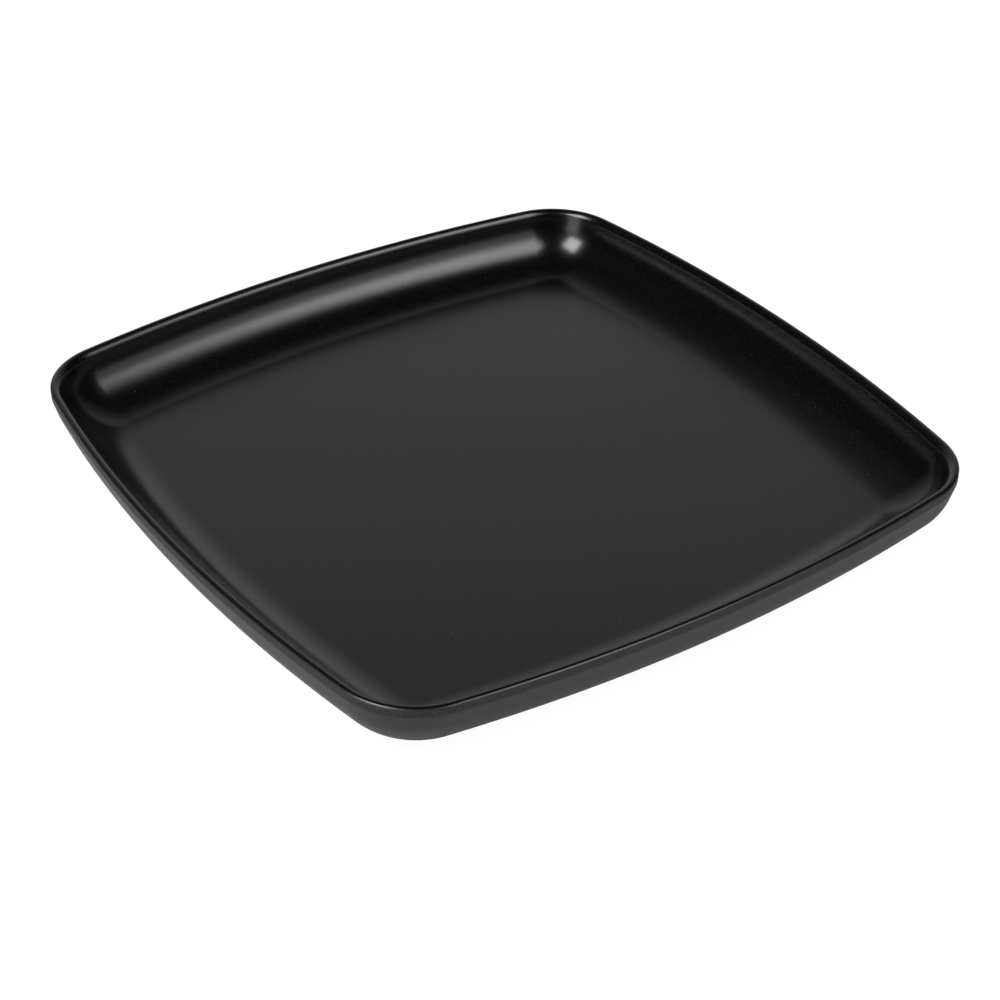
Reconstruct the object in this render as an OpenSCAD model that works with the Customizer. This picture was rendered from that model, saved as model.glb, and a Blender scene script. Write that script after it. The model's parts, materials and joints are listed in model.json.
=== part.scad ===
// Square dinner plate, moulded in one piece, with a cured glaze over its food face.
// Millimetres, +Z up. The origin is the middle of the plate, level with the foot ring's face.
// Every wall is one flat section carried round the plate's outline. In a section x = 0 is the
// rim's outer face, x is negative inwards, and y is the height above the table.

/* [Outline] */
// Width across the middles of two opposite sides
plate_w = 267; // [240:1:300]
// Half of the angle that each side's gentle bulge covers, in degrees, seen from above
side_lean = 9.2; // [6:0.1:13]
// Radius of each corner, seen from above
corner_r = 30.3; // [29:0.1:40]

/* [Rim] */
// Height from the sanded band's lower edge up to the crown, the rim's highest line
band_h = 3.5; // [2.5:0.1:5]
// Radius of the round from the crown out to the band
crown_r = 1.75; // [1.2:0.05:2.5]
// Slope of that round where the band cuts it, in degrees from level
band_slope = 54; // [40:1:65]
// Radius that breaks the edge between round and band
edge_r = 0.15; // [0.05:0.05:0.4]
// Radius of the roll from the crown into the well
roll_r = 1.75; // [1.2:0.05:2.5]
// Slope at which the roll runs out into a wider bend, in degrees from level
roll_slope = 32; // [20:1:45]
// Radius of the wider bend, which runs down to the wall's steepest part
ease_r = 4.2; // [3:0.1:7]

/* [Well] */
// Depth of the well, from the crown to the flat floor
well_depth = 20; // [15:0.1:21]
// Slope of the well's wall at its steepest, in degrees from level
wall_slope = 74; // [71:1:80]
// Least radius of the flat floor's corners, seen from above
floor_corner_r = 3; // [1:0.1:6]
// Thickness of the floor, with its glaze
floor_t = 3.5; // [2.5:0.1:5]

/* [Outer wall] */
// Lean of the outer wall under the band, in degrees from upright
wall_lean = 15; // [10:1:20]
// Radius of the belly between outer wall and underside
belly_r = 20; // [14:0.5:22]

/* [Foot ring] */
// Height of the foot ring under the floor
foot_h = 1.6; // [1:0.1:3]
// Width of the foot ring
foot_w = 3; // [2.4:0.1:5]
// Distance from the rim's outer face in to the foot ring, at the middle of a side
foot_inset = 25; // [24:0.5:32]
// Radius of the foot ring's corners, seen from above
foot_corner_r = 22; // [12:1:30]
// Radius of the foot ring's lower edges
foot_edge_r = 0.5; // [0.2:0.1:0.7]
// Radius of the fillets between foot ring and floor
foot_fillet_r = 0.8; // [0.3:0.1:0.9]

/* [Glaze] */
// Thickness of the glaze over the food face
glaze_t = 0.4; // [0.2:0.05:0.7]

/* [Hidden] */
// Facets of a whole turn about a corner or about a side's far centre
$fn = 288;
// Straight steps that each arc of a section is drawn in
edge_steps = 3;
crown_steps = 7;
roll_steps = 4;
ease_steps = 6;
wall_steps = 25;
belly_steps = 18;
foot_steps = 4;
// Length by which parts of one solid run into each other
lap = 1;
body_colour = [0.12, 0.12, 0.125];
glaze_colour = [0.06, 0.06, 0.065];

plate_h = foot_h + floor_t + well_depth;
floor_z = plate_h - well_depth;
band_z = plate_h - band_h;
// Distance from the rim's outer face in to the crown
crown_w = edge_r + (crown_r - edge_r) * sin(band_slope);
crown_centre = [-crown_w, plate_h - crown_r];
roll_centre = [-crown_w, plate_h - roll_r];
ease_centre = polar(roll_centre, roll_r - ease_r, 90 + roll_slope);
// Where the wider bend ends
ease_end = polar(ease_centre, ease_r, 90 + wall_slope);

// The wall's arc has the largest radius that the depth under the wider bend, and the room in a
// corner, leave for it. A straight stretch takes up the rest of the depth.
wall_depth = ease_end[1] - floor_z;
wall_room = corner_r - floor_corner_r + ease_end[0];
wall_r = min(wall_depth / (1 - cos(wall_slope)),
             (wall_room - wall_depth / tan(wall_slope)) / tan(wall_slope / 2));
straight = (wall_depth - wall_r * (1 - cos(wall_slope))) / sin(wall_slope);
well_edge = wall_r * sin(wall_slope) + straight * cos(wall_slope) - ease_end[0];
wall_centre = [-well_edge, floor_z + wall_r];

// The belly starts where the leaning outer wall ends, and ends level with the underside
belly_top_z = foot_h + belly_r * (1 - sin(wall_lean));
belly_top_x = -(band_z - belly_top_z) * tan(wall_lean);
belly_centre = [belly_top_x - belly_r * cos(wall_lean), foot_h + belly_r];

// A rounded square is [half width, corner radius]. Its sides are arcs that all cover the same
// angle, and that run into its corner arcs without a kink.
rim_shape = [plate_w / 2, corner_r];
foot_shape = [plate_w / 2 - foot_inset, foot_corner_r];

// Distance between the centre of a side's arc and the centres of the corners beside it
function reach(shape) =
    (shape[0] - shape[1]) / (1 - cos(side_lean) + sin(side_lean));
// Radius of a side's arc
function side_r(shape) = shape[1] + reach(shape);
// Distance along X and along Y from the middle to the centre of a corner
function corner_centre(shape) = reach(shape) * sin(side_lean);
// Point at a distance and an angle from a centre
function polar(centre, distance, angle) =
    centre + distance * [cos(angle), sin(angle)];

// Points along an arc, both ends included
function arc(centre, radius, from, to, steps) =
    [for (i = [0 : steps]) polar(centre, radius, from + (to - from) * i / steps)];

function reversed(points) = [for (i = [len(points) - 1 : -1 : 0]) points[i]];

// The food face, or the glaze's underside sunk under it, from the round in to the floor
function face_points(sunk) = concat(
    arc(crown_centre, crown_r - sunk, 90 - band_slope, 90, crown_steps),
    arc(roll_centre, roll_r - sunk, 90, 90 + roll_slope, roll_steps),
    arc(ease_centre, ease_r - sunk, 90 + roll_slope, 90 + wall_slope, ease_steps),
    arc(wall_centre, wall_r + sunk, wall_slope - 90, -90, wall_steps));

// The edge arc lies inside the round's circle and touches it and the band
edge_centre = [-edge_r, crown_centre[1] + (crown_r - edge_r) * cos(band_slope)];
food_face = concat(arc(edge_centre, edge_r, 0, 90 - band_slope, edge_steps), face_points(0));
glaze_base = concat([[0, edge_centre[1] - glaze_t]], face_points(glaze_t));

module body_section(depth) {
    polygon(concat(glaze_base, [[-depth, floor_z - glaze_t], [-depth, foot_h]],
                   arc(belly_centre, belly_r, -90, -wall_lean, belly_steps), [[0, band_z]]));
}

module glaze_section(depth) {
    polygon(concat(food_face, [[-depth, floor_z], [-depth, floor_z - glaze_t]],
                   reversed(glaze_base)));
}

// Foot ring, from its outer side inwards, with a root that runs into the floor
module foot_section() {
    fillet_z = foot_h - foot_fillet_r;
    root_z = foot_h + lap;
    polygon(concat(
        arc([-foot_edge_r, foot_edge_r], foot_edge_r, -90, 0, foot_steps),
        arc([foot_fillet_r, fillet_z], foot_fillet_r, 180, 90, foot_steps),
        [[foot_fillet_r, root_z], [-foot_w - foot_fillet_r, root_z]],
        arc([-foot_w - foot_fillet_r, fillet_z], foot_fillet_r, 90, 0, foot_steps),
        arc([foot_edge_r - foot_w, foot_edge_r], foot_edge_r, 180, 270, foot_steps)));
}

// Part of a length that is a whole number of steps, with so many steps to the millimetre
function whole_steps(length, steps) = floor(length * steps) / steps;

// Moves in whole millimetres, then in thousandths, then by what is left. Sides and corners
// share their end faces, and a long move that was rounded would leave a gap between them.
module shift(x, y = 0) {
    coarse = [whole_steps(x, 1), whole_steps(y, 1)];
    fine = [whole_steps(x, 1000), whole_steps(y, 1000)];
    translate(coarse) translate(fine - coarse) translate([x, y] - fine) children();
}

// A section carried along the four bulging sides
module sides(shape) {
    for (turn = [0 : 90 : 270])
        rotate([0, 0, turn]) shift(shape[0] - side_r(shape))
            rotate_extrude(angle = 2 * side_lean, start = -side_lean)
                shift(side_r(shape)) children();
}

// A section carried round the four corners, as far in as their centres
module corners(shape) {
    for (turn = [0 : 90 : 270])
        rotate([0, 0, turn]) shift(corner_centre(shape), corner_centre(shape))
            rotate_extrude(angle = 90 - 2 * side_lean, start = side_lean) intersection() {
                shift(shape[1]) children();
                translate([0, -lap]) square([shape[1] + lap, plate_h + 2 * lap]);
            }
}

module body() {
    color(body_colour) union() {
        sides(rim_shape) body_section(plate_w / 2 + lap);
        corners(rim_shape) body_section(corner_r + lap);
        sides(foot_shape) foot_section();
        corners(foot_shape) foot_section();
    }
}

module glaze() {
    color(glaze_colour) union() {
        sides(rim_shape) glaze_section(plate_w / 2 + lap);
        corners(rim_shape) glaze_section(corner_r + lap);
    }
}

body();
glaze();
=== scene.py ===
import json
import math

import bmesh
import bpy
from mathutils import Matrix, Vector

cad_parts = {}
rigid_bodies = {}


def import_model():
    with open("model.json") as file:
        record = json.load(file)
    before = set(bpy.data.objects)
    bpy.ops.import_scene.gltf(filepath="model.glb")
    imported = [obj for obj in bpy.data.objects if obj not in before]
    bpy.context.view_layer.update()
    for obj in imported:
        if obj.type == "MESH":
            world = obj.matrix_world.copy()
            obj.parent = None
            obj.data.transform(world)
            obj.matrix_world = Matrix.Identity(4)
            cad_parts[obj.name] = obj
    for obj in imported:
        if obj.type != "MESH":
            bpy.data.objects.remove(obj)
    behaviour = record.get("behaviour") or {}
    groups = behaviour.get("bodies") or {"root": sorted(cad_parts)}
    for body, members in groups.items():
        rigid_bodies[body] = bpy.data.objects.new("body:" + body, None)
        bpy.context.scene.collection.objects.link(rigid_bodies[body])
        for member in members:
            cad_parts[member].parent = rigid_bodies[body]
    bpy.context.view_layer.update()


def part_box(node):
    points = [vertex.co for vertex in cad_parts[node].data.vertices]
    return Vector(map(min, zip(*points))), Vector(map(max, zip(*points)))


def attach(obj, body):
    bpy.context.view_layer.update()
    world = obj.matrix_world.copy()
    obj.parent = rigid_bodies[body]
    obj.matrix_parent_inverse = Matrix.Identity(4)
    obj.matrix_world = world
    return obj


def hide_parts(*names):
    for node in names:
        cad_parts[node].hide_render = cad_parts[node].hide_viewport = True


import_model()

print("The frame is loaded")

scene = bpy.context.scene
scene.view_settings.view_transform = "Standard"

# Metres. A section is drawn at y = 0 through the side on +X, and is then spun round the plate.
# The outline is four long arcs and four corner arcs, in true tangent to each other.
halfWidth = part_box("body")[1].x
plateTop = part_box("glaze")[1].z
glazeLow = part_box("glaze")[0].z

outline = {
    "sideLean": 9.2,           # half of the angle that a side's arc covers, in degrees
    "cornerRadius": 0.0303,
    "sideSteps": 24,
    "cornerSteps": 60,
}

well = {
    "crownRadius": 0.00175,
    "bandSlope": 54,           # of the round where it meets the band, in degrees from level
    "edgeRadius": 0.00015,
    "rollRadius": 0.00175,
    "rollSlope": 32,
    "easeRadius": 0.0042,
    "wallSlope": 74,
    "floorCornerRadius": 0.003,
    "glazeThickness": 0.0004,
    "crownSteps": 10,
    "edgeSteps": 4,
    "rollSteps": 7,
    "easeSteps": 9,
    "wallSteps": 34,
    "floorMargin": 0.0015,     # ring that keeps the floor's shading flat
}

outside = {
    "bandHeight": 0.0035,      # from its lower edge up to the crown
    "wallLean": 15,            # degrees from upright
    "bellyRadius": 0.020,
    "bandSteps": 3,
    "wallSteps": 4,
    "bellySteps": 30,
}

foot = {
    "height": 0.0016,
    "width": 0.003,
    "inset": 0.025,            # from the rim's outer face, at the middle of a side
    "cornerRadius": 0.022,
    "edgeRadius": 0.0005,
    "filletRadius": 0.0008,
    "roundSteps": 6,
}

startSize = 0.001              # of the small plane that a piece or a section starts as
mergeDistance = 0.000005
smoothAngle = 40               # degrees between two faces, above which their edge stays sharp
millimetres = 1000             # in a metre


# Centres of the side's and the corner's arc on +X, for an outline of any size
def arcCentres(halfSpan, cornerRadius):
    lean = math.radians(outline["sideLean"])
    reach = (halfSpan - cornerRadius) / (1 - math.cos(lean) + math.sin(lean))
    return halfSpan - cornerRadius - reach, reach * math.sin(lean)


def deselectAll():
    if bpy.context.mode != "OBJECT":
        bpy.ops.object.mode_set(mode="OBJECT")
    bpy.ops.object.select_all(action="DESELECT")


# A piece starts as a small plane in edit mode
def startPiece(name):
    deselectAll()
    bpy.ops.mesh.primitive_plane_add(size=startSize, location=(0, 0, 0))
    piece = bpy.context.object
    piece.name = name
    piece.data.name = name
    bpy.ops.object.mode_set(mode="EDIT")
    bpy.ops.mesh.select_mode(type="VERT")
    bpy.ops.mesh.select_all(action="SELECT")
    bpy.ops.mesh.delete(type="VERT")
    return piece


# The pencil that draws a section: one vertex, which lines and arcs carry on from
def setPencil(x, z):
    bpy.ops.mesh.select_all(action="DESELECT")
    bpy.ops.mesh.primitive_plane_add(size=startSize, location=(0, 0, 0))
    bpy.ops.mesh.merge(type="CENTER")
    bpy.ops.transform.translate(value=(x, 0, z))
    return Vector((x, 0, z))


def drawLine(pen, x, z, steps=1):
    step = (Vector((x, 0, z)) - pen) / steps
    for _ in range(steps):
        bpy.ops.mesh.extrude_region_move(TRANSFORM_OT_translate={"value": step})
    return Vector((x, 0, z))


# A positive turn goes from +X towards +Z. The spin tool counts its angle the other way round.
def drawArc(pen, x, z, turn, steps):
    bpy.ops.mesh.spin(steps=steps, angle=-math.radians(turn), center=(x, 0, z), axis=(0, -1, 0))
    rotation = Matrix.Rotation(math.radians(turn), 4, (0, -1, 0))
    centre = Vector((x, 0, z))
    return centre + rotation @ (pen - centre)


# Carries the section once round the plate: in each quarter half a side, a corner and half a side
def spinRound(halfSpan, cornerRadius):
    bpy.ops.mesh.select_linked()
    sideCentre, cornerCentre = arcCentres(halfSpan, cornerRadius)
    lean = outline["sideLean"]
    halfSide = {
        "steps": outline["sideSteps"] // 2,
        "angle": -math.radians(lean),
        "axis": (0, 0, 1),
    }
    corner = {
        "steps": outline["cornerSteps"],
        "angle": -math.radians(90 - 2 * lean),
        "axis": (0, 0, 1),
    }
    for quarter in range(4):
        turn = Matrix.Rotation(math.radians(90 * quarter), 4, "Z")
        nextTurn = Matrix.Rotation(math.radians(90 * (quarter + 1)), 4, "Z")
        bpy.ops.mesh.spin(center=turn @ Vector((sideCentre, 0, 0)), **halfSide)
        bpy.ops.mesh.spin(center=turn @ Vector((cornerCentre, cornerCentre, 0)), **corner)
        bpy.ops.mesh.spin(center=nextTurn @ Vector((sideCentre, 0, 0)), **halfSide)
    bpy.ops.mesh.select_all(action="SELECT")
    bpy.ops.mesh.remove_doubles(threshold=mergeDistance)
    bpy.ops.mesh.select_all(action="DESELECT")


# Selects the open edges whose two ends pass a test on their place
def selectOpenEdges(piece, test):
    bpy.ops.mesh.select_mode(type="EDGE")
    bpy.ops.mesh.select_all(action="DESELECT")
    shape = bmesh.from_edit_mesh(piece.data)
    for edge in shape.edges:
        if edge.is_boundary and all(test(vertex.co) for vertex in edge.verts):
            edge.select_set(True)
    bmesh.update_edit_mesh(piece.data)


# Fills an open ring with a flat face inside a narrow border
def fillFlat(piece, test):
    selectOpenEdges(piece, test)
    bpy.ops.mesh.edge_face_add()
    bpy.ops.mesh.inset(thickness=well["floorMargin"], depth=0)
    bpy.ops.mesh.select_mode(type="VERT")
    bpy.ops.mesh.select_all(action="DESELECT")


def finishPiece(piece, node):
    bpy.ops.mesh.select_all(action="SELECT")
    bpy.ops.mesh.normals_make_consistent(inside=False)
    bpy.ops.object.mode_set(mode="OBJECT")
    bpy.ops.object.shade_smooth_by_angle(angle=math.radians(smoothAngle))
    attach(piece, "root")
    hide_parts(node)
    piece.select_set(False)


# Point at a distance from a centre, at a slope in degrees from straight up towards the middle
def sloped(x, z, distance, degrees):
    turn = math.radians(degrees)
    return x - distance * math.sin(turn), z + distance * math.cos(turn)


# Heights and distances that both pieces share, worked out from the values above
slope = math.radians(well["wallSlope"])
bandSlope = math.radians(well["bandSlope"])
floorHeight = glazeLow + well["glazeThickness"]
bandLow = plateTop - outside["bandHeight"]
rimEdge = well["edgeRadius"]
crownX = halfWidth - rimEdge - (well["crownRadius"] - rimEdge) * math.sin(bandSlope)
crownZ = plateTop - well["crownRadius"]
rollZ = plateTop - well["rollRadius"]
edgeZ = crownZ + (well["crownRadius"] - rimEdge) * math.cos(bandSlope)
easeX, easeZ = sloped(crownX, rollZ, well["rollRadius"] - well["easeRadius"], well["rollSlope"])
easeEndX, easeEndZ = sloped(easeX, easeZ, well["easeRadius"], well["wallSlope"])

wallDepth = easeEndZ - floorHeight
wallRoom = outline["cornerRadius"] - well["floorCornerRadius"] + easeEndX - halfWidth
wallRadius = min(wallDepth / (1 - math.cos(slope)),
                 (wallRoom - wallDepth / math.tan(slope)) / math.tan(slope / 2))
straight = (wallDepth - wallRadius * (1 - math.cos(slope))) / math.sin(slope)
floorEdge = easeEndX - wallRadius * math.sin(slope) - straight * math.cos(slope)
wallZ = floorHeight + wallRadius


# The food face, or the glaze's underside if it is sunk, from the floor's edge out to the crown
def drawWallOut(pen, sunk):
    pen = drawArc(pen, floorEdge, wallZ, well["wallSlope"], well["wallSteps"])
    pen = drawLine(pen, *sloped(easeX, easeZ, well["easeRadius"] - sunk, well["wallSlope"]))
    pen = drawArc(pen, easeX, easeZ, well["rollSlope"] - well["wallSlope"], well["easeSteps"])
    pen = drawArc(pen, crownX, rollZ, -well["rollSlope"], well["rollSteps"])
    return drawArc(pen, crownX, crownZ, -well["bandSlope"], well["crownSteps"])


# The same way back, from the round's outer end in to the floor's edge
def drawWallIn(pen, sunk):
    pen = drawArc(pen, crownX, crownZ, well["bandSlope"], well["crownSteps"])
    pen = drawArc(pen, crownX, rollZ, well["rollSlope"], well["rollSteps"])
    pen = drawArc(pen, easeX, easeZ, well["wallSlope"] - well["rollSlope"], well["easeSteps"])
    pen = drawLine(pen, *sloped(floorEdge, wallZ, -wallRadius - sunk, well["wallSlope"]))
    return drawArc(pen, floorEdge, wallZ, -well["wallSlope"], well["wallSteps"])


def makeGlaze():
    piece = startPiece("glazeCoat")
    pen = setPencil(floorEdge, floorHeight)
    pen = drawWallOut(pen, 0)
    pen = drawArc(pen, halfWidth - rimEdge, edgeZ, well["bandSlope"] - 90, well["edgeSteps"])
    sunk = well["glazeThickness"]
    pen = drawLine(pen, halfWidth, edgeZ - sunk)
    pen = drawLine(pen, *sloped(crownX, crownZ, well["crownRadius"] - sunk, -well["bandSlope"]))
    drawWallIn(pen, sunk)
    spinRound(halfWidth, outline["cornerRadius"])
    middle = floorHeight - sunk / 2
    fillFlat(piece, lambda place: place.z > middle)
    fillFlat(piece, lambda place: place.z < middle)
    finishPiece(piece, "glaze")
    return piece


def makeBody():
    piece = startPiece("plateBody")
    sunk = well["glazeThickness"]
    pen = setPencil(floorEdge, floorHeight - sunk)
    pen = drawWallOut(pen, sunk)
    pen = drawLine(pen, halfWidth, edgeZ - sunk)
    pen = drawLine(pen, halfWidth, bandLow, outside["bandSteps"])
    lean = math.radians(outside["wallLean"])
    belly = outside["bellyRadius"]
    bellyTopZ = foot["height"] + belly * (1 - math.sin(lean))
    bellyTopX = halfWidth - (bandLow - bellyTopZ) * math.tan(lean)
    pen = drawLine(pen, bellyTopX, bellyTopZ, outside["wallSteps"])
    bellyX = bellyTopX - belly * math.cos(lean)
    drawArc(pen, bellyX, foot["height"] + belly, outside["wallLean"] - 90, outside["bellySteps"])
    spinRound(halfWidth, outline["cornerRadius"])

    # The foot ring goes round on its own outline, and flat rings and a floor close the underside
    footOut = halfWidth - foot["inset"]
    footIn = footOut - foot["width"]
    fillet = foot["filletRadius"]
    footEdge = foot["edgeRadius"]
    pen = setPencil(footOut + fillet, foot["height"])
    pen = drawArc(pen, footOut + fillet, foot["height"] - fillet, 90, foot["roundSteps"])
    pen = drawLine(pen, footOut, footEdge)
    pen = drawArc(pen, footOut - footEdge, footEdge, -90, foot["roundSteps"])
    pen = drawLine(pen, footIn + footEdge, 0)
    pen = drawArc(pen, footIn + footEdge, footEdge, -90, foot["roundSteps"])
    pen = drawLine(pen, footIn, foot["height"] - fillet)
    drawArc(pen, footIn - fillet, foot["height"] - fillet, 90, foot["roundSteps"])
    spinRound(footOut, foot["cornerRadius"])

    # The top is closed, then the underside within the foot ring, then the gap outside the ring
    underFloor = floorHeight - 2 * sunk
    innerLimit = -foot["width"] - fillet / 2

    def insideFoot(place):
        return distanceOutside(place, footOut, foot["cornerRadius"]) < innerLimit

    fillFlat(piece, lambda place: place.z > underFloor)
    fillFlat(piece, insideFoot)
    selectOpenEdges(piece, lambda place: True)
    bpy.ops.mesh.bridge_edge_loops()
    finishPiece(piece, "body")
    return piece


# How far a place lies outside an outline, seen from above
def distanceOutside(place, halfSpan, cornerRadius):
    x, y = max(abs(place.x), abs(place.y)), min(abs(place.x), abs(place.y))
    sideCentre, cornerCentre = arcCentres(halfSpan, cornerRadius)
    if math.atan2(y, x - sideCentre) <= math.radians(outline["sideLean"]):
        return math.hypot(x - sideCentre, y) - halfSpan + sideCentre
    return math.hypot(x - cornerCentre, y - cornerCentre) - cornerRadius


# Keeps on each vertex how many millimetres it lies in from the rim's outer face
def storeInset(piece):
    inset = piece.data.attributes.new("rimInset", "FLOAT", "POINT")
    for vertex, kept in zip(piece.data.vertices, inset.data):
        outsideRim = distanceOutside(vertex.co, halfWidth, outline["cornerRadius"])
        kept.value = -millimetres * outsideRim


glazeCoat = makeGlaze()
storeInset(glazeCoat)
print("The glaze is modelled:", len(glazeCoat.data.polygons), "faces")
plateBody = makeBody()
print("The body is modelled:", len(plateBody.data.polygons), "faces")


# A socket of a material, for use in sums
class Wire:
    def __init__(self, tree, socket=None):
        self.tree = tree
        self.socket = socket

    # Any node: its type, its settings, then the values or wires of its inputs
    def node(self, kind, settings=None, inputs=None, output=0):
        made = self.tree.nodes.new(kind)
        for name, value in (settings or {}).items():
            if name == "stops":
                fillRamp(made.color_ramp, value)
            else:
                setattr(made, name, value)
        for name, value in (inputs or {}).items():
            if isinstance(value, Wire):
                self.tree.links.new(value.socket, made.inputs[name])
            else:
                made.inputs[name].default_value = value
        return Wire(self.tree, made.outputs[output] if made.outputs else None)

    def maths(self, operation, *values):
        return self.node("ShaderNodeMath", {"operation": operation}, dict(enumerate(values)))

    def __add__(self, other):
        return self.maths("ADD", self, other)

    def __sub__(self, other):
        return self.maths("SUBTRACT", self, other)

    def __rsub__(self, other):
        return self.maths("SUBTRACT", other, self)

    def __mul__(self, other):
        return self.maths("MULTIPLY", self, other)

    __radd__ = __add__
    __rmul__ = __mul__

    # 0 at one value and 1 at the other, with a smooth change between them
    def between(self, none, full):
        limits = {"Value": self, "From Min": none, "From Max": full}
        return self.node("ShaderNodeMapRange", {"interpolation_type": "SMOOTHSTEP"}, limits)

    def noise(self, place, scale, detail):
        inputs = {"Vector": place, "Scale": scale, "Detail": detail}
        return self.node("ShaderNodeTexNoise", inputs=inputs)

    # Inputs 6 and 7 of a Mix node are its two colours
    def mix(self, low, high):
        inputs = {"Factor": self, 6: low, 7: high}
        return self.node("ShaderNodeMix", {"data_type": "RGBA"}, inputs, "Result")


def fillRamp(ramp, stops):
    while len(ramp.elements) < len(stops):
        ramp.elements.new(1)
    for element, (position, level) in zip(ramp.elements, stops):
        element.position = position
        element.color = (level, level, level, 1)


def newMaterial(name):
    material = bpy.data.materials.new(name)
    material.use_nodes = True
    material.node_tree.nodes.clear()
    return material, Wire(material.node_tree)


noiseMiddle = 0.5                # about which a noise texture's value lies

glazeFinish = {
    "darkColour": (0.0006, 0.0006, 0.00065, 1),
    "paleColour": (0.0042, 0.0042, 0.0044, 1),
    "roughness": 0.22,
    "cloudScale": 45,            # of slow changes in the gloss
    "cloudDetail": 3,
    "cloudShare": 0.05,
    "grainScale": 1400,          # of the fine mottling
    "grainDetail": 2,
    "grainStops": (0.36, 0.64),
    "bumpDistance": 0.0002,
    "bumpStrength": 0.05,
    "ior": 1.5,
    "dulledFrom": 0.60,          # millimetres in from the rim's face, where the sanding fades out
    "dulledTo": 0.05,
    "dulledWobble": 0.3,
    "dulledColour": (0.008, 0.0085, 0.0098, 1),
    "dulledRoughness": 0.52,
    "speckScale": 700,
    "speckDetail": 1,
    "speckStops": (0.76, 0.84),  # of that noise, where dust starts and where it is full
    "speckColour": (0.030, 0.031, 0.033, 1),
}


def glazeMaterial():
    finish = glazeFinish
    material, make = newMaterial("satinGlaze")
    place = make.node("ShaderNodeTexCoord", output="Object")
    inset = make.node("ShaderNodeAttribute", {"attribute_name": "rimInset"}, output="Fac")
    cloud = make.noise(place, finish["cloudScale"], finish["cloudDetail"])
    grain = make.noise(place, finish["grainScale"], finish["grainDetail"])
    dust = make.noise(place, finish["speckScale"], finish["speckDetail"])
    wobbled = inset + (grain - noiseMiddle) * finish["dulledWobble"]
    dulled = wobbled.between(finish["dulledFrom"], finish["dulledTo"])
    mottled = grain.between(*finish["grainStops"]).mix(finish["darkColour"], finish["paleColour"])
    dusty = dust.between(*finish["speckStops"]).mix(mottled, finish["speckColour"])
    gloss = (cloud - noiseMiddle) * finish["cloudShare"] + finish["roughness"]
    bump = {"Height": grain, "Strength": finish["bumpStrength"], "Distance": finish["bumpDistance"]}
    shader = make.node("ShaderNodeBsdfPrincipled", inputs={
        "Base Color": dulled.mix(dusty, finish["dulledColour"]),
        "Roughness": gloss + dulled * (finish["dulledRoughness"] - finish["roughness"]),
        "IOR": finish["ior"],
        "Normal": make.node("ShaderNodeBump", inputs=bump),
    })
    make.node("ShaderNodeOutputMaterial", inputs={"Surface": shader})
    return material


mouldingFinish = {
    "darkColour": (0.001, 0.001, 0.0012, 1),
    "paleColour": (0.016, 0.016, 0.0164, 1),
    "darkBandColour": (0.001, 0.0012, 0.0030, 1),
    "paleBandColour": (0.023, 0.0236, 0.0270, 1),
    "lineColour": (0.034, 0.034, 0.036, 1),    # of the pale line along the band's lower edge
    "lineHeight": 0.0004,
    "roughness": 0.36,
    "bandRoughness": 0.54,
    "roughnessVariation": 0.10,
    "grainScale": 2300,
    "grainDetail": 2,
    "grainStops": (0.40, 0.62),
    "bumpDistance": 0.0003,
    "bumpStrength": 0.20,
    "ior": 1.46,
}


def mouldingMaterial():
    finish = mouldingFinish
    material, make = newMaterial("satinMoulding")
    place = make.node("ShaderNodeTexCoord", output="Object")
    height = make.node("ShaderNodeSeparateXYZ", inputs={"Vector": place}, output="Z")
    onBand = height.maths("GREATER_THAN", height, bandLow)
    noise = make.noise(place, finish["grainScale"], finish["grainDetail"])
    grain = noise.between(*finish["grainStops"])
    moulded = grain.mix(finish["darkColour"], finish["paleColour"])
    onLine = height.between(bandLow - finish["lineHeight"], bandLow - finish["lineHeight"] / 2)
    plain = onLine.mix(moulded, finish["lineColour"])
    sanded = grain.mix(finish["darkBandColour"], finish["paleBandColour"])
    roughness = onBand * (finish["bandRoughness"] - finish["roughness"]) + finish["roughness"]
    bump = {"Height": noise, "Strength": finish["bumpStrength"], "Distance": finish["bumpDistance"]}
    shader = make.node("ShaderNodeBsdfPrincipled", inputs={
        "Base Color": onBand.mix(plain, sanded),
        "Roughness": roughness + (noise - noiseMiddle) * finish["roughnessVariation"],
        "IOR": finish["ior"],
        "Normal": make.node("ShaderNodeBump", inputs=bump),
    })
    make.node("ShaderNodeOutputMaterial", inputs={"Surface": shader})
    return material


glazeCoat.data.materials.append(glazeMaterial())
plateBody.data.materials.append(mouldingMaterial())
print("The finishes are made")

tableTop = {
    "size": 8,
    "colour": (0.72, 0.72, 0.72, 1),
    "seenShare": 0.88,         # of plain white in what the camera sees, the rest is lit and shaded
    "mirroredShare": 0.10,
    "whiteStrength": 1.1,
}


# The floor shows white, and keeps a soft shadow under the plate
def makeTable():
    deselectAll()
    bpy.ops.mesh.primitive_plane_add(size=tableTop["size"], location=(0, 0, 0))
    table = bpy.context.object
    table.name = "tableTop"
    material, make = newMaterial("whiteTable")
    seen = make.node("ShaderNodeLightPath", output="Is Camera Ray")
    mirrored = make.node("ShaderNodeLightPath", output="Is Glossy Ray")
    share = seen * tableTop["seenShare"] + mirrored * tableTop["mirroredShare"]
    plain = make.node("ShaderNodeBsdfDiffuse", inputs={"Color": tableTop["colour"]})
    white = make.node("ShaderNodeEmission", inputs={"Strength": tableTop["whiteStrength"]})
    shown = make.node("ShaderNodeMixShader", inputs={0: share, 1: plain, 2: white})
    make.node("ShaderNodeOutputMaterial", inputs={"Surface": shown})
    table.data.materials.append(material)


makeTable()

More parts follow.
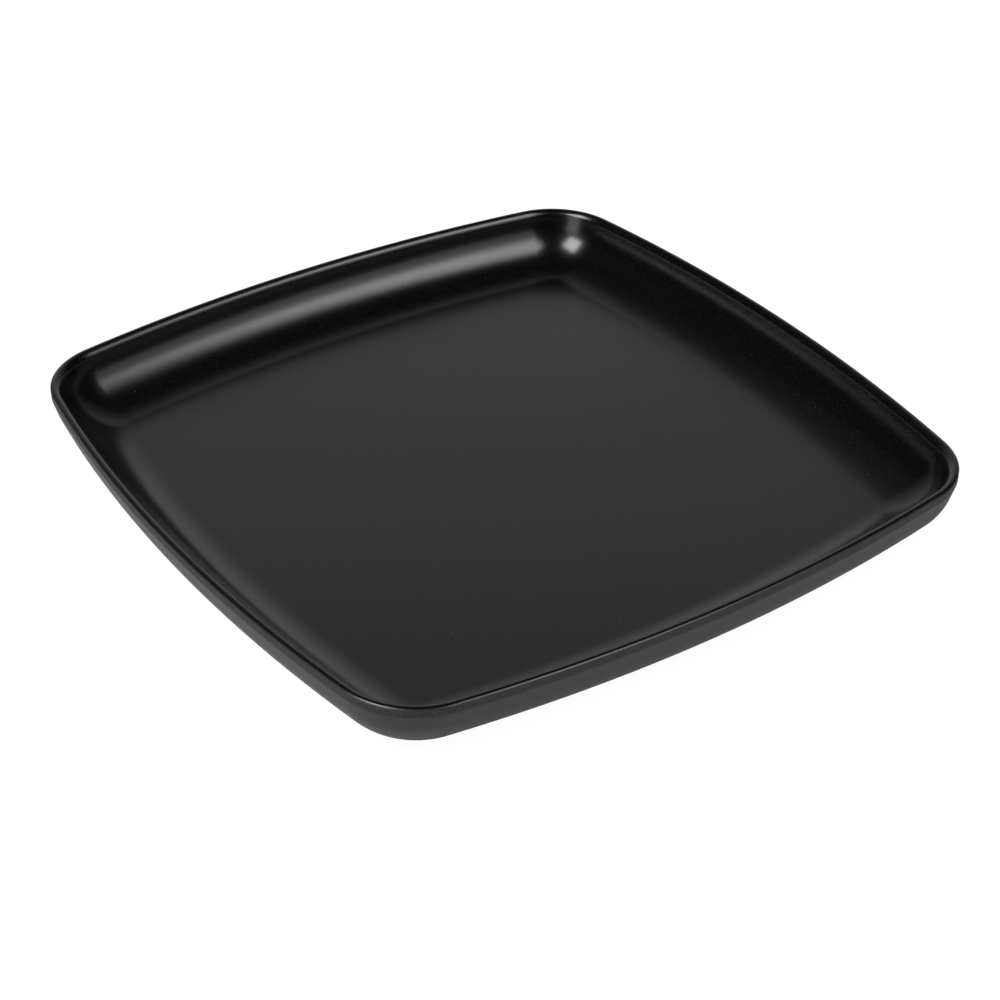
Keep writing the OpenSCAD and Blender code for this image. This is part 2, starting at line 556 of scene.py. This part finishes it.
studio = {
    "backdropAim": (0.5, 0.866, 0),
    "backdropStops": [(0.50, 0), (0.71, 0.30), (0.87, 0.62), (0.94, 0.82), (0.99, 1)],
    "skyStops": [(0.30, 0.85), (0.45, 0.74), (0.57, 0.62), (0.66, 0.44), (0.77, 0.15), (0.87, 0)],
    "horizonStops": [(0, 0.55), (0.06, 0.35), (0.12, 0.10), (0.20, 0.02), (0.40, 0.01)],
    "roomLevel": 0.8,
}

# Degrees, metres and watts. An azimuth of 0 lies on +X and one of 90 on +Y.
lamps = {
    "softbox": {
        "azimuth": -62, "elevation": 50, "roll": 5, "size": (0.86, 0.78), "power": 5.6,
    },
    "softboxHeart": {
        "azimuth": -60, "elevation": 51, "roll": 5, "size": (0.54, 0.56), "power": 3.9,
    },
    "softboxSkirt": {
        "azimuth": -62, "elevation": 30, "roll": 0, "size": (0.80, 0.42), "power": 1.2,
    },
    "sideLight": {
        "azimuth": 181, "elevation": 51.5, "roll": 0, "size": (0.70, 0.71), "power": 19.5,
    },
    "sideSkirt": {
        "azimuth": 198, "elevation": 18, "roll": 0, "size": (0.60, 0.80), "power": 3.6,
    },
    "lowPanel": {
        "azimuth": 142, "elevation": 7, "roll": 0, "size": (0.35, 0.10), "power": 0.15,
    },
}
lampDistance = 1.6


# A dark room with a pale backdrop behind the plate, which ends part of the way up. The camera
# sees plain white in its place.
def makeWorld():
    world = bpy.data.worlds.new("studioRoom")
    world.use_nodes = True
    world.node_tree.nodes.clear()
    make = Wire(world.node_tree)
    direction = make.node("ShaderNodeTexCoord", output="Generated")
    height = make.node("ShaderNodeSeparateXYZ", inputs={"Vector": direction}, output="Z")
    flat = make.node("ShaderNodeVectorMath", {"operation": "MULTIPLY"},
                     {0: direction, 1: (1, 1, 0)})
    level = make.node("ShaderNodeVectorMath", {"operation": "NORMALIZE"}, {0: flat})
    behind = make.node("ShaderNodeVectorMath", {"operation": "DOT_PRODUCT"},
                       {0: level, 1: studio["backdropAim"]}, "Value")
    across = make.node("ShaderNodeValToRGB", {"stops": studio["backdropStops"]}, {"Fac": behind})
    upward = make.node("ShaderNodeValToRGB", {"stops": studio["skyStops"]}, {"Fac": height})
    horizon = make.node("ShaderNodeValToRGB", {"stops": studio["horizonStops"]}, {"Fac": height})
    ray = make.node("ShaderNodeLightPath", output="Is Camera Ray")
    room = ray.maths("MAXIMUM", across * upward, horizon) * studio["roomLevel"]
    strength = ray.maths("MAXIMUM", ray, room)
    sky = make.node("ShaderNodeBackground", inputs={"Color": (1, 1, 1, 1), "Strength": strength})
    make.node("ShaderNodeOutputWorld", inputs={"Surface": sky})
    scene.world = world


def makeLamp(name, setting):
    light = bpy.data.lights.new(name, "AREA")
    light.shape = "RECTANGLE"
    light.size, light.size_y = setting["size"]
    light.energy = setting["power"]
    lamp = bpy.data.objects.new(name, light)
    scene.collection.objects.link(lamp)
    azimuth, elevation = math.radians(setting["azimuth"]), math.radians(setting["elevation"])
    away = Vector((math.cos(azimuth) * math.cos(elevation),
                   math.sin(azimuth) * math.cos(elevation), math.sin(elevation)))
    roll = Matrix.Rotation(math.radians(setting["roll"]), 3, "Z")
    lamp.location = away * lampDistance
    lamp.rotation_euler = (away.to_track_quat("Z", "Y").to_matrix() @ roll).to_euler()


makeWorld()
for lampName, lampSetting in lamps.items():
    makeLamp(lampName, lampSetting)

view = {
    "target": (-0.01174, -0.02075, 0.00576),
    "distance": 0.82383,
    "azimuth": -35.163,        # degrees, 0 looks along +Y
    "elevation": 34.738,
    "roll": 0.79,
    "lens": 83.299,            # millimetres
}


def makeCamera():
    azimuth, elevation = math.radians(view["azimuth"]), math.radians(view["elevation"])
    back = Vector((math.sin(azimuth) * math.cos(elevation),
                   -math.cos(azimuth) * math.cos(elevation), math.sin(elevation)))
    right = Vector((math.cos(azimuth), math.sin(azimuth), 0))
    upright = Matrix((right, back.cross(right), back)).transposed()
    rolled = upright @ Matrix.Rotation(math.radians(view["roll"]), 3, "Z")
    camera = bpy.data.objects.new("camera", bpy.data.cameras.new("camera"))
    camera.data.lens = view["lens"]
    camera.data.dof.use_dof = False
    place = Vector(view["target"]) + back * view["distance"]
    camera.matrix_world = Matrix.Translation(place) @ rolled.to_4x4()
    scene.collection.objects.link(camera)
    scene.camera = camera


makeCamera()
print("The table, lights and camera are set")
